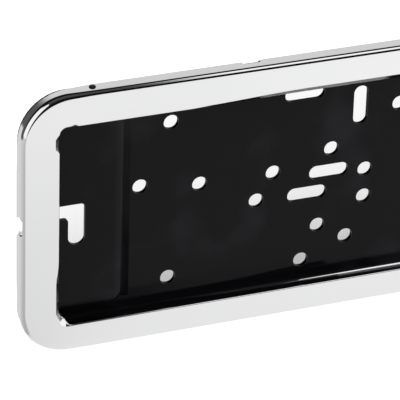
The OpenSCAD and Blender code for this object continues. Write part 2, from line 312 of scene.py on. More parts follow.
floor = stage_sheet("floor", (-PAPER_SIDE, -PAPER_FRONT), (PAPER_SIDE, PAPER_BACK), cad_low[2], paper_material())
print("floor level in mm:", round(cad_low[2] / MM, 1))

# %% [markdown]
# The bright line along the top fold comes from a softbox that hangs over the middle of the
# holder. It is a real sheet at a real height, and not part of the world, because a sheet at a
# finite distance has an end: the line fades out towards the left corner, as it does on the
# real metal. Only mirror rays see it.

# %% Softbox
SOFTBOX_HEIGHT = 0.80
SOFTBOX_GLOW = 1.0
# Front and rear edge as shares of the height, and the slope of the left edge, x over y
SOFTBOX_FRONT, SOFTBOX_REAR = 1.33, 0.11
SOFTBOX_SLOPE = -0.187
# Points of the holder between these x values see the soft left edge
SOFTBOX_FADE = (-0.250, -0.175)
SOFTBOX_SHIFT = 0.33


def softbox_material():
    material = bpy.data.materials.new("softbox_cloth")
    material.use_nodes = True
    tree = material.node_tree
    tree.nodes.clear()
    place = add_node(tree, "ShaderNodeTexCoord").outputs["Object"]
    way = add_node(tree, "ShaderNodeSeparateXYZ", {"Vector": place}).outputs
    along = maths(tree, "SUBTRACT", way["X"], maths(tree, "MULTIPLY", way["Y"], SOFTBOX_SLOPE))
    from_left = maths(tree, "SUBTRACT", along, SOFTBOX_SHIFT * SOFTBOX_HEIGHT)
    left = add_node(tree, "ShaderNodeMapRange", {
        "Value": from_left, "From Min": SOFTBOX_FADE[0], "From Max": SOFTBOX_FADE[1],
        "To Min": 0.06, "To Max": SOFTBOX_GLOW}, interpolation_type="SMOOTHSTEP").outputs[0]
    depth = soft_band(tree, way["Y"], -SOFTBOX_FRONT * SOFTBOX_HEIGHT, -SOFTBOX_REAR * SOFTBOX_HEIGHT, 0.10)
    glow = maths(tree, "MAXIMUM", maths(tree, "MULTIPLY", left, depth), ROOM_DARK)
    cloth = add_node(tree, "ShaderNodeEmission", {"Color": grey(1), "Strength": glow}).outputs[0]
    add_node(tree, "ShaderNodeOutputMaterial", {"Surface": cloth})
    return material


softbox = stage_sheet("softbox", (-0.6, -SOFTBOX_FRONT * SOFTBOX_HEIGHT - 0.05), (1.2, -SOFTBOX_REAR * SOFTBOX_HEIGHT + 0.05),
                      cad_high[2] + SOFTBOX_HEIGHT, softbox_material())
softbox.visible_camera = softbox.visible_diffuse = softbox.visible_shadow = False
print("softbox hangs", SOFTBOX_HEIGHT, "m above the holder")

# %% [markdown]
# One large lamp high above on the right and a weaker one in front on the left light the
# holder, and the weaker one keeps the black tray readable. Mirror rays don't see them. Both
# are broad, so shadows stay soft.

# %% Lamps
LAMPS = [
    ("lamp_above_right", Vector((0.9, -0.5, 1.5)), 1.1, 9.0),
    ("lamp_front_left", Vector((-1.3, -1.5, 1.4)), 1.0, 6.0),
]


def add_lamp(name, place, size, power):
    data = bpy.data.lights.new(name, "AREA")
    data.shape, data.size, data.energy = "DISK", size, power
    lamp = bpy.data.objects.new(name, data)
    bpy.context.collection.objects.link(lamp)
    lamp.matrix_world = Matrix.Translation(place) @ place.to_track_quat("Z", "Y").to_matrix().to_4x4()
    lamp.visible_glossy = False
    return lamp


for name, place, size, power in LAMPS:
    add_lamp(name, place, size, power)
    print(name, "at", [round(c, 2) for c in place], "m,", power, "W")

# %% [markdown]
# ## Finishes
# Nothing on a real surface is quite even. Two small node groups hold the unevenness that both
# finishes share: one turns soft noise into a roughness, and the other makes the slow waves
# that a pressed sheet or a moulding has, as a height for Bump.

# %% Shared node groups
def shader_group(name, inputs, output, kind="NodeSocketFloat"):
    tree = bpy.data.node_groups.new(name, "ShaderNodeTree")
    tree.interface.new_socket(name=output, in_out="OUTPUT", socket_type=kind)
    tree.interface.new_socket(name="Place", in_out="INPUT", socket_type="NodeSocketVector")
    for label, value in inputs.items():
        socket = tree.interface.new_socket(name=label, in_out="INPUT", socket_type="NodeSocketFloat")
        socket.default_value = value
    return tree, add_node(tree, "NodeGroupInput").outputs


def uneven_gloss():
    """Roughness that drifts between two values, with finer cloudy marks on top."""
    tree, given = shader_group("uneven_gloss", {"Size": 60.0, "Low": 0.03, "High": 0.08}, "Roughness")
    slow = add_node(tree, "ShaderNodeTexNoise", {"Vector": given["Place"], "Scale": given["Size"],
                    "Detail": 4.0, "Roughness": 0.6}).outputs["Fac"]
    fine = add_node(tree, "ShaderNodeTexNoise", {
        "Vector": given["Place"], "Scale": maths(tree, "MULTIPLY", given["Size"], 9.0), "Detail": 2.0}).outputs["Fac"]
    both = maths(tree, "ADD", maths(tree, "MULTIPLY", slow, 0.7), maths(tree, "MULTIPLY", fine, 0.3))
    rough = add_node(tree, "ShaderNodeMapRange", {"Value": both, "From Min": 0.3, "From Max": 0.7,
                     "To Min": given["Low"], "To Max": given["High"]}).outputs[0]
    add_node(tree, "NodeGroupOutput", {"Roughness": rough})
    return tree


def slow_waves():
    """Height of the slow waves of a sheet, stretched along the holder."""
    tree, given = shader_group("slow_waves", {"Size": 14.0}, "Height")
    long_way = add_node(tree, "ShaderNodeVectorMath", {0: given["Place"], 1: (0.35, 1.0, 1.0)},
                        operation="MULTIPLY").outputs[0]
    waves = add_node(tree, "ShaderNodeTexNoise", {"Vector": long_way, "Scale": given["Size"],
                     "Detail": 1.0, "Roughness": 0.3}).outputs["Fac"]
    add_node(tree, "NodeGroupOutput", {"Height": waves})
    return tree


gloss_group, wave_group = uneven_gloss(), slow_waves()
print("shared groups:", gloss_group.name, wave_group.name)

# %% [markdown]
# The bezel is polished steel, almost a mirror. Its colour is a little below white, and only a
# very slight wave moves the reflections, because the photograph's reflections are calm. Where
# the top roll opened, the polishing wheel didn't reach it well, so it is duller there.

# %% Polished metal
# The top edge of the window, and the stretch of its roll that is duller, from the middle out
WINDOW_TOP = 50.9 * MM
DULL_STRETCH = (85 * MM, 150 * MM)
DULLER = 0.18


def new_material(name):
    material = bpy.data.materials.new(name)
    material.use_nodes = True
    tree = material.node_tree
    tree.nodes.clear()
    shader = add_node(tree, "ShaderNodeBsdfPrincipled")
    add_node(tree, "ShaderNodeOutputMaterial", {"Surface": shader.outputs[0]})
    place = add_node(tree, "ShaderNodeTexCoord").outputs["Object"]
    return material, tree, shader, place


def dull_roll(tree, place):
    """1 along the stretches of the top roll where the polish is duller, and 0 elsewhere."""
    way = add_node(tree, "ShaderNodeSeparateXYZ", {"Vector": place}).outputs
    on_roll = soft_band(tree, way["Z"], WINDOW_TOP - 0.5 * MM, WINDOW_TOP + 2.35 * MM, 0.3 * MM)
    along = soft_band(tree, maths(tree, "ABSOLUTE", way["X"]), DULL_STRETCH[0], DULL_STRETCH[1], 6 * MM)
    return maths(tree, "MULTIPLY", on_roll, along)


def polished_metal():
    material, tree, shader, place = new_material("polished_metal")
    rough = add_node(tree, "ShaderNodeGroup", {"Place": place, "Size": 55.0, "Low": 0.02, "High": 0.07},
                     node_tree=gloss_group).outputs[0]
    rough = maths(tree, "MULTIPLY_ADD", dull_roll(tree, place), DULLER, rough)
    waves = add_node(tree, "ShaderNodeGroup", {"Place": place, "Size": 16.0}, node_tree=wave_group).outputs[0]
    bump = add_node(tree, "ShaderNodeBump", {"Height": waves, "Strength": 0.25, "Distance": 0.0004}).outputs[0]
    tone = add_node(tree, "ShaderNodeTexNoise", {"Vector": place, "Scale": 22.0, "Detail": 2.0}).outputs["Fac"]
    colour = add_node(tree, "ShaderNodeMix", {"Factor": tone, 6: (0.885, 0.888, 0.895, 1), 7: (0.92, 0.92, 0.92, 1)},
                      data_type="RGBA").outputs[2]
    shader.inputs["Metallic"].default_value = 1.0
    tree.links.new(colour, shader.inputs["Base Color"])
    tree.links.new(rough, shader.inputs["Roughness"])
    tree.links.new(bump, shader.inputs["Normal"])
    return material


# %% [markdown]
# The tray is black plastic with a gloss surface. It reflects far less than the metal, so its
# tone is nearly black with a trace of blue, and a thin haze of dust and handling lifts it in
# soft patches.

# %% Gloss black plastic
# The raised end pads slope down softly before their edge, and the floor rises softly to their
# foot: from and to in distances from the end, and the drop of each slope
PAD_SLOPES = [(49.0 * MM, 54.0 * MM, 1.1 * MM, "SMOOTHSTEP"), (54.3 * MM, 58.0 * MM, 3.6 * MM, "LINEAR")]
PAD_HALF_HEIGHT = 50 * MM


def pad_slopes(tree, place):
    """Height of the soft slopes of both end pads over the floor."""
    across = add_node(tree, "ShaderNodeSeparateXYZ", {"Vector": place}).outputs["X"]
    from_end = maths(tree, "SUBTRACT", cad_high[0], maths(tree, "ABSOLUTE", across))
    heights = [add_node(tree, "ShaderNodeMapRange", {
        "Value": from_end, "From Min": low, "From Max": high,
        "To Min": drop, "To Max": 0.0}, interpolation_type=form).outputs[0]
        for low, high, drop, form in PAD_SLOPES]
    return maths(tree, "ADD", *heights)


def beside_pads(tree, place):
    """1 between the levels of the lower and the upper side of the pads, and 0 outside."""
    level = maths(tree, "ABSOLUTE", add_node(tree, "ShaderNodeSeparateXYZ", {"Vector": place}).outputs["Z"])
    return maths(tree, "LESS_THAN", level, PAD_HALF_HEIGHT)


def gloss_black(name, shine, tone):
    material, tree, shader, place = new_material(name)
    rough = add_node(tree, "ShaderNodeGroup", {"Place": place, "Size": 40.0, "Low": 0.14, "High": 0.24},
                     node_tree=gloss_group).outputs[0]
    waves = add_node(tree, "ShaderNodeGroup", {"Place": place, "Size": 24.0}, node_tree=wave_group).outputs[0]
    grain = add_node(tree, "ShaderNodeTexNoise", {"Vector": place, "Scale": 1600.0, "Detail": 1.0}).outputs["Fac"]
    height = maths(tree, "MULTIPLY_ADD", grain, 0.04, waves)
    shoulder = add_node(tree, "ShaderNodeBump", {
        "Height": pad_slopes(tree, place), "Strength": beside_pads(tree, place), "Distance": 1.0}).outputs[0]
    bump = add_node(tree, "ShaderNodeBump", {
        "Height": height, "Strength": 0.2, "Distance": 0.0004, "Normal": shoulder}).outputs[0]
    patches = add_node(tree, "ShaderNodeTexNoise", {"Vector": place, "Scale": 26.0, "Detail": 3.0}).outputs["Fac"]
    haze = add_node(tree, "ShaderNodeMapRange", {"Value": patches, "From Min": 0.54, "From Max": 0.74}).outputs[0]
    # A tone below 1 darkens the whole black, which is painted shade where the hole walls use it
    colour = add_node(tree, "ShaderNodeMix", {"Factor": haze, 6: [tone * c for c in (0.0042, 0.0042, 0.0052)] + [1],
                      7: [tone * c for c in (0.015, 0.015, 0.018)] + [1]}, data_type="RGBA").outputs[2]
    # A shine far above the plain moulding's is a painted highlight, and a very low one painted shade
    shader.inputs["Specular IOR Level"].default_value = shine
    tree.links.new(colour, shader.inputs["Base Color"])
    tree.links.new(rough, shader.inputs["Roughness"])
    tree.links.new(bump, shader.inputs["Normal"])
    return material


# %% [markdown]
# ## The bezel's two outlines
# The bezel is pressed from one thin sheet. Its outer edge is folded back into a flange, and its
# window edge is rolled back into a lip with a small hem. Both edges run along a rounded
# rectangle, so the bezel is two profiles swept along two closed paths, with a flat face
# between. Everything is drawn lying down, x and y across the face and z towards the viewer,
# because a curve is filled in that plane, and it is stood up at the end. Each point of a path
# carries the direction in which the flat rail lies.

# %% Outlines
BEZEL_LOW, BEZEL_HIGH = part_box("front_bezel")
FACE_LEVEL = -BEZEL_LOW[1]
HALF_LENGTH, HALF_HEIGHT = 267.5 * MM, 67.5 * MM
SHEET = 0.6 * MM
CORNER = 24 * MM
SIDE_RAIL, TOP_RAIL, BOTTOM_RAIL = 19 * MM, 16.6 * MM, 13.8 * MM
WINDOW_CORNER = 3.6 * MM
WINDOW_MIDDLE = (BOTTOM_RAIL - TOP_RAIL) / 2
WINDOW_HALF_LENGTH = HALF_LENGTH - SIDE_RAIL
WINDOW_HALF_HEIGHT = HALF_HEIGHT - (TOP_RAIL + BOTTOM_RAIL) / 2
ARC_STEPS = 20


def rounded_path(half_x, half_y, radius, middle, towards, spacing):
    """Places on a rounded rectangle, turning left, each with its direction towards the rail."""
    corners = [(1, 1, 0), (-1, 1, 90), (-1, -1, 180), (1, -1, 270)]
    stations = []
    for index, (sx, sy, start) in enumerate(corners):
        centre = Vector((sx * (half_x - radius), sy * (half_y - radius) + middle, 0))
        for step in range(ARC_STEPS + 1):
            turn = math.radians(start + 90 * step / ARC_STEPS)
            out = Vector((math.cos(turn), math.sin(turn), 0))
            stations.append((centre + out * radius, out * towards))
        last, _ = stations[-1]
        nx, ny, _ = corners[(index + 1) % 4]
        goal = Vector((nx * (half_x - radius), ny * (half_y - radius) + middle, 0)) + out * radius
        count = round((goal - last).length / spacing)
        stations += [(last.lerp(goal, step / count), out * towards) for step in range(1, count)]
    return stations


outer_path = rounded_path(HALF_LENGTH, HALF_HEIGHT, CORNER, 0, -1, 5 * MM)
window_path = rounded_path(WINDOW_HALF_LENGTH, WINDOW_HALF_HEIGHT, WINDOW_CORNER, WINDOW_MIDDLE, 1, 1.8 * MM)
print("points along the edges:", len(outer_path), "and", len(window_path))

# %% [markdown]
# A roll that was pulled over by a press isn't the same all the way round. Here it is tight
# along the bottom rail and round along the ends. Where the press held it less well it opened:
# the quarter round is a flat slope instead, wide across the face, and mirrors the black tray.
# That happens near the corners of each end, and along the middle of the top rail, and in both
# lower corners the sheet flares into the window. So each place on the window path says how
# wide and how deep its roll is, and how far it is open.

# %% Roll along the window
TIGHTEST, TIGHT, ROUND, FLARE, OPEN_WIDE = 0.61 * MM, 0.64 * MM, 1.1 * MM, 2.8 * MM, 2.4 * MM
END_SLOPE, STEEP, TOP_SLOPE, FLARE_SLOPE = 0.90, 1.15, 0.66, 0.84


def blend(value, low, high):
    """0 at low, 1 at high and a smooth slope between."""
    share = min(max((value - low) / (high - low), 0), 1)
    return share * share * (3 - 2 * share)


def stretch(value, low, high, edge):
    """1 between low and high, with soft ends of that length outside them."""
    return blend(value, low - edge, low) * (1 - blend(value, high, high + edge))


def window_roll(place):
    """Width, depth and openness of the roll at a place. Both ends of the holder are alike."""
    from_end = (WINDOW_HALF_LENGTH - abs(place.x)) / MM
    level = place.y / MM
    if level < -50.2:
        flared = 1 - blend(from_end, 3.2, 4.6)
        width = TIGHTEST + (FLARE - TIGHTEST) * flared
        return width, width * (1 - (1 - FLARE_SLOPE) * flared), flared
    if from_end > 3.7:
        dent = stretch(from_end, 6.0, 7.8, 1.0)
        width = TIGHT + (ROUND - TIGHT) * (1 - blend(from_end, 4, 6)) + 1.0 * MM * dent
        width += (OPEN_WIDE - TIGHT) * blend(from_end, 62, 124)
        opened = max(dent, blend(from_end, 64, 74))
        return width, width * (1 - (1 - TOP_SLOPE) * opened), opened
    upper = stretch(level, 40.5, 45.5, 2.5)
    lower = blend(-level, 18, 31)
    flared = blend(-level, 48, 50)
    width = ROUND + 1.2 * MM * upper + 0.55 * MM * lower + (FLARE - ROUND - 0.55 * MM) * flared
    opened = max(upper, lower)
    slope = END_SLOPE + (STEEP - END_SLOPE) * upper + (FLARE_SLOPE - END_SLOPE) * flared
    return width, width * (1 - (1 - slope) * opened), opened


# %% [markdown]
# Some more small things change along the edges. The outer fold is tight along the rails and
# rounder round the ends, and there the sheet draws in, so the rear edge of the flange leans in.
# Along the bottom rail the lip is deeper and leans down a little, so that it mirrors only the
# black foot of the tray. Near the ends its hem is thin, and further along the hem is full and
# kicked up, which is the bright line inside the bottom of the window.

# %% Fold, lean, reach and kick
RAIL_FOLD, END_FOLD = 1.9 * MM, 2.6 * MM
CORNER_LEAN, END_LEAN = 1.0 * MM, 0.4 * MM
LEAN_END, LEAN_MIDDLE = 0.75 * MM, 2.1 * MM
REACH_END, REACH_MIDDLE = 4.0 * MM, 3.5 * MM
THIN_HEM = 0.45
FLARE_INSET = 2.6 * MM
KICK = 0.7 * MM


def near_end(place):
    """0 along the rails and 1 along the ends, with the change before each corner."""
    return blend(abs(place.x), HALF_LENGTH - 1.6 * CORNER, HALF_LENGTH - 0.6 * CORNER)


def outer_fold(place):
    """The fold of the outer edge is tight along the rails and rounder round the ends."""
    radius = RAIL_FOLD + (END_FOLD - RAIL_FOLD) * near_end(place)
    return radius, radius, 0.0


def flange_lean(place):
    """How far the rear edge of the flange leans in at a place on the outer path."""
    up = blend(abs(place.y), HALF_HEIGHT - 1.8 * CORNER, HALF_HEIGHT - 0.5 * CORNER)
    return near_end(place) * (END_LEAN + (CORNER_LEAN - END_LEAN) * up)


def corner_inset(place):
    """How far the flared sheet stands into the window in its lower corners."""
    from_end = (WINDOW_HALF_LENGTH - abs(place.x)) / MM
    return FLARE_INSET * blend(-place.y / MM, 47, 50.5) * (1 - blend(from_end, 2.8, 5.5))


def at_bottom(place):
    """1 along the bottom rail and 0 elsewhere on the window path."""
    return blend(-place.y / MM, 50.5, 53.6)


def lip_lean(place):
    """How far the end of the lip leans down towards the bottom rail."""
    from_end = (WINDOW_HALF_LENGTH - abs(place.x)) / MM
    return at_bottom(place) * (LEAN_END + (LEAN_MIDDLE - LEAN_END) * blend(from_end, 50, 110))


def lip_reach(place):
    """How much deeper the lip is than its least depth, at a place on the window path."""
    from_end = (WINDOW_HALF_LENGTH - abs(place.x)) / MM
    return at_bottom(place) * (REACH_END + (REACH_MIDDLE - REACH_END) * blend(from_end, -20, 125))


def hem_share(place):
    """How much of the full hem radius a place on the window path has."""
    from_end = (WINDOW_HALF_LENGTH - abs(place.x)) / MM
    return THIN_HEM + (1 - THIN_HEM) * blend(from_end, 90, 185) if place.y < 0 else 1.0


def lip_kick(place):
    """How far the end of the lip is kicked up at a place on the window path."""
    from_end = (WINDOW_HALF_LENGTH - abs(place.x)) / MM
    return KICK * blend(from_end, 40, 150) if place.y < 0 else 0.0


def none(place):
    return 0.0


def full(place):
    return 1.0


def path_object(name, stations, roll, inset=none, lean=none, reach=none, kick=none, nose=full):
    """A closed chain of edges whose points carry their place and what changes along it."""
    mesh = bpy.data.meshes.new(name)
    count = len(stations)
    spots = [place - rail * inset(place) for place, rail in stations]
    mesh.from_pydata(spots, [(i, (i + 1) % count) for i in range(count)], [])
    for label, kind, values in (("place", "FLOAT_VECTOR", spots),
                                ("rail", "FLOAT_VECTOR", [d for _, d in stations]),
                                ("roll", "FLOAT_VECTOR", [roll(p) for p, _ in stations]),
                                ("lean", "FLOAT", [lean(p) for p, _ in stations]),
                                ("reach", "FLOAT", [reach(p) for p, _ in stations]),
                                ("kick", "FLOAT", [kick(p) for p, _ in stations]),
                                ("nose", "FLOAT", [nose(p) for p, _ in stations])):
        data = mesh.attributes.new(label, kind, "POINT").data
        if kind == "FLOAT":
            data.foreach_set("value", values)
        else:
            data.foreach_set("vector", [c for v in values for c in v])
    thing = bpy.data.objects.new(name, mesh)
    bpy.context.collection.objects.link(thing)
    return thing


outer_edge = path_object("outer_edge", outer_path, outer_fold, lean=flange_lean)
window_edge = path_object("window_edge", window_path, window_roll, corner_inset, lip_lean, lip_reach, lip_kick, hem_share)
widths = [window_roll(place)[0] / MM for place, _ in window_path]
print("width of the roll in mm:", round(min(widths), 2), "to", round(max(widths), 2))

# %% [markdown]
# ## A profile written as shares
# A profile is a chain of stations. A station holds no lengths: it says how many roll radii,
# sheet thicknesses and hem radii it lies in from the outline and behind the face, and how much
# of the lip's depth it takes. The node tree multiplies these shares with the real sizes, so
# one chain serves every radius along the path. Narrow extra strips beside each bend keep the
# flat parts flat when the surface is shaded smooth.

# %% Profile stations
FOLD_STEPS = 14
HEM_STEPS = 12


def station(across=(0, 0, 0), deep=(0, 0, 0), strip=(0, 0), lip=0, opened=None, kick=(0, 0)):
    """Shares of roll, sheet and nose across and in depth, of the strip, the lip and the kick."""
    opened = opened or (across[0], deep[0])
    return {"across": across, "deep": deep, "extra": (*strip, lip), "opened": (*opened, 0), "kicked": (*kick, 0)}


def fold(inside):
    """A quarter turn from the face to the lip, or a slope, on one side of the sheet."""
    yield station((1, 0, 0), (0, inside, 0), strip=(1, 0))
    for step in range(FOLD_STEPS + 1):
        share = step / FOLD_STEPS
        s, c = math.sin(math.pi / 2 * share), math.cos(math.pi / 2 * share)
        yield station((1 - s, s * inside, 0), (1 - c, c * inside, 0), opened=(1 - share, share))
    yield station((0, inside, 0), (1, 0, 0), strip=(0, 1))


def hem(start):
    """Round the end of the lip, about a centre in the middle of the sheet."""
    before = math.sin(math.radians(start)) - 1
    yield station((0, 0, 0), (0, 0, before), strip=(0, -1), lip=1, kick=(0, -2))
    for step in range(HEM_STEPS + 1):
        turn = math.radians(start + (180 - 2 * start) * step / HEM_STEPS)
        yield station((0, 0.5, -math.cos(turn)), (0, 0, math.sin(turn) - 1), lip=1, kick=(-1, -1))
    yield station((0, 1, 0), (0, 0, before), strip=(0, -1), lip=1, kick=(0, -2))


def profile_object(name, start):
    """An open chain of stations. The hem starts where its circle meets the sheet."""
    chain = [*fold(0), *hem(start), *list(fold(1))[::-1]]
    mesh = bpy.data.meshes.new(name)
    mesh.from_pydata([(index * MM, 0, 0) for index in range(len(chain))],
                     [(index, index + 1) for index in range(len(chain) - 1)], [])
    for label in chain[0]:
        data = mesh.attributes.new(label, "FLOAT_VECTOR", "POINT").data
        data.foreach_set("vector", [float(c) for point in chain for c in point[label]])
    thing = bpy.data.objects.new(name, mesh)
    bpy.context.collection.objects.link(thing)
    return thing


HEM = 0.75 * MM
FLANGE_NOSE = SHEET / 2
lip_profile = profile_object("lip_profile", -math.degrees(math.acos(SHEET / 2 / HEM)))
flange_profile = profile_object("flange_profile", 0)
print("stations:", len(lip_profile.data.vertices))

# %% [markdown]
# ## The tree that sweeps an edge
# Curve to Mesh joins every point of the path with every station of the profile. It carries the
# attributes of both, so each point of the swept mesh knows its path place and its station, and
# one Set Position puts it where the sizes say. The tree is a group, because both edges use it.

# %% Swept edge group
def group_socket(tree, name, kind, in_out="INPUT", value=None):
    socket = tree.interface.new_socket(name=name, in_out=in_out, socket_type=kind)
    if value is not None:
        socket.default_value = value
    return socket


def carried(tree, name, kind="FLOAT_VECTOR"):
    """The value that a point carries under that name."""
    return add_node(tree, "GeometryNodeInputNamedAttribute", {"Name": name}, data_type=kind).outputs["Attribute"]


def parts_of(tree, vector):
    return add_node(tree, "ShaderNodeSeparateXYZ", {"Vector": vector}).outputs


def swept_edge():
    tree = bpy.data.node_groups.new("swept_edge", "GeometryNodeTree")
    group_socket(tree, "Swept", "NodeSocketGeometry", "OUTPUT")
    group_socket(tree, "Rim", "NodeSocketGeometry", "OUTPUT")
    for name, kind in (("Path", "NodeSocketObject"), ("Profile", "NodeSocketObject")):
        group_socket(tree, name, kind)
    for name, value in (("Sheet", SHEET), ("Nose", HEM), ("Lip depth", 5.6 * MM), ("Strip", 0.3 * MM)):
        group_socket(tree, name, "NodeSocketFloat", value=value)
    given = add_node(tree, "NodeGroupInput").outputs
    path = add_node(tree, "GeometryNodeMeshToCurve", {
        "Mesh": add_node(tree, "GeometryNodeObjectInfo", {"Object": given["Path"]}).outputs["Geometry"]}).outputs[0]
    profile = add_node(tree, "GeometryNodeMeshToCurve", {
        "Mesh": add_node(tree, "GeometryNodeObjectInfo", {"Object": given["Profile"]}).outputs["Geometry"]}).outputs[0]
    across, deep, extra, opened, kicked, roll = (
        parts_of(tree, carried(tree, name)) for name in ("across", "deep", "extra", "opened", "kicked", "roll"))
    lean, reach, kick, share = (carried(tree, name, "FLOAT") for name in ("lean", "reach", "kick", "nose"))
    nose = maths(tree, "MULTIPLY", given["Nose"], share)
    lip_depth = maths(tree, "ADD", given["Lip depth"], reach)
    share_across = add_node(tree, "ShaderNodeMix", {0: roll["Z"], 2: across["X"], 3: opened["X"]}).outputs[0]
    share_deep = add_node(tree, "ShaderNodeMix", {0: roll["Z"], 2: deep["X"], 3: opened["Y"]}).outputs[0]

    def total(*terms):
        result = maths(tree, "MULTIPLY", *terms[0])
        for a, b in terms[1:]:
            result = maths(tree, "MULTIPLY_ADD", a, b, result)
        return result

    depth = total((share_deep, roll["Y"]), (deep["Y"], given["Sheet"]), (deep["Z"], nose),
                  (extra["Y"], given["Strip"]), (extra["Z"], lip_depth), (kicked["Y"], kick))
    past_roll = add_node(tree, "ShaderNodeMapRange", {"Value": depth, "From Min": roll["Y"],
                         "From Max": lip_depth}).outputs[0]
    inward = total((share_across, roll["X"]), (across["Y"], given["Sheet"]), (across["Z"], nose),
                   (extra["X"], given["Strip"]), (past_roll, lean), (kicked["X"], kick))
    place, rail = carried(tree, "place"), carried(tree, "rail")
    sideways = add_node(tree, "ShaderNodeVectorMath", {0: rail, "Scale": inward}, operation="SCALE").outputs[0]
    down = add_node(tree, "ShaderNodeCombineXYZ", {"Z": maths(tree, "MULTIPLY", depth, -1.0)}).outputs[0]
    spot = add_node(tree, "ShaderNodeVectorMath", {0: place, 1: sideways}, operation="ADD").outputs[0]
    spot = add_node(tree, "ShaderNodeVectorMath", {0: spot, 1: down}, operation="ADD").outputs[0]
    swept = add_node(tree, "GeometryNodeCurveToMesh", {"Curve": path, "Profile Curve": profile}).outputs[0]
    swept = add_node(tree, "GeometryNodeSetPosition", {"Geometry": swept, "Position": spot}).outputs[0]
    to_face = maths(tree, "ADD", roll["X"], given["Strip"])
    rim_way = add_node(tree, "ShaderNodeVectorMath", {0: rail, "Scale": to_face}, operation="SCALE").outputs[0]
    rim_spot = add_node(tree, "ShaderNodeVectorMath", {0: place, 1: rim_way}, operation="ADD").outputs[0]
    rim = add_node(tree, "GeometryNodeSetPosition", {"Geometry": path, "Position": rim_spot}).outputs[0]
    add_node(tree, "NodeGroupOutput", {"Swept": swept, "Rim": rim})
    return tree


swept_edge_group = swept_edge()
print("nodes in the swept edge group:", len(swept_edge_group.nodes))

# %% [markdown]
# ## What is punched out
# Four round holes let the tray's snap studs through, two notches in the top flange take a
# tool to prise the bezel off, and each end has a release notch with a small drain hole below
# it. The release notch is given by its corners, because its mouth leans down to let a blade
# in. Each cutter is a short prism, and one mesh holds them all.

# %% Cutters
FLANGE_REAR = 6.8 * MM
STUD_X, STUD_LEVEL, STUD_HOLE = 231.5 * MM, 9.8 * MM, 3.4 * MM
PRY_X, PRY_WIDTH, PRY_REACH = 152.5 * MM, 9 * MM, 2.6 * MM
PRY_ROUND = 1.3 * MM
DRAIN_Y, DRAIN_LEVEL, DRAIN_HOLE = -1.7 * MM, 13.4 * MM, 1.8 * MM
CUT = 3 * MM
RELEASE_CORNERS = [(4.0 * MM, -CUT), (4.2 * MM, 0.5 * MM), (6.4 * MM, 3.8 * MM), (6.8 * MM, 5.8 * MM),
                   (6.6 * MM, 6.9 * MM), (5.8 * MM, 7.5 * MM), (0.9 * MM, 7.5 * MM), (0.2 * MM, 7.1 * MM),
                   (-0.1 * MM, 6.3 * MM), (-0.6 * MM, 4.6 * MM), (-4.6 * MM, 1.4 * MM), (-5.4 * MM, -CUT)]


def circle_outline(diameter, steps=24):
    return [(diameter / 2 * math.cos(math.tau * i / steps), diameter / 2 * math.sin(math.tau * i / steps))
            for i in range(steps)]


def notch_outline(width, reach, round_by, steps=6):
    """Half width to each side, open below and rounded above."""
    outline = [(-width / 2, -CUT), (width / 2, -CUT)]
    for sign, start in ((1, 0), (-1, 90)):
        for step in range(steps + 1):
            turn = math.radians(start + 90 * step / steps)
            outline.append((sign * (width / 2 - round_by) + round_by * math.cos(turn),
                            reach - round_by + round_by * math.sin(turn)))
    return outline


def prism(outline, middle, right, up):
    """Corners and faces of an outline drawn on two axes and pushed both ways by CUT."""
    push = right.cross(up) * CUT
    ring = [middle + right * a + up * b for a, b in outline]
    count = len(ring)
    corners = [p - push for p in ring] + [p + push for p in ring]
    sides = [(i, (i + 1) % count, count + (i + 1) % count, count + i) for i in range(count)]
    return corners, [tuple(range(count))[::-1], tuple(range(count, 2 * count))] + sides


def cutter_object():
    x, y, z = Vector((1, 0, 0)), Vector((0, 1, 0)), Vector((0, 0, 1))
    shapes = []
    for side in (-1, 1):
        for edge in (-1, 1):
            middle = Vector((side * STUD_X, edge * HALF_HEIGHT, STUD_LEVEL))
            shapes.append(prism(circle_outline(STUD_HOLE), middle, x, z))
        shapes.append(prism(notch_outline(PRY_WIDTH, PRY_REACH, PRY_ROUND),
                            Vector((side * PRY_X, HALF_HEIGHT, FLANGE_REAR)), x, z))
        shapes.append(prism(RELEASE_CORNERS, Vector((side * HALF_LENGTH, 0, FLANGE_REAR)), y, z))
        shapes.append(prism(circle_outline(DRAIN_HOLE), Vector((side * HALF_LENGTH, DRAIN_Y, DRAIN_LEVEL)), y, z))
    corners, faces = [], []
    for points, sides in shapes:
        faces += [tuple(index + len(corners) for index in side) for side in sides]
        corners += points
    mesh = bpy.data.meshes.new("cutters")
    mesh.from_pydata(corners, [], faces)
    thing = bpy.data.objects.new("cutters", mesh)
    bpy.context.collection.objects.link(thing)
    return thing, len(shapes)


cutters, cut_count = cutter_object()
print("cut-outs:", cut_count)

# %% [markdown]
# ## The bezel's tree
# Both edges are swept, the face between their rims is filled in front and behind, and the
# parts are merged into one closed sheet. Then the holes are cut, edges sharper than a limit
# are kept sharp, and the sheet is stood up.

# %% Bezel tree
SHARP_ANGLE = math.radians(35)


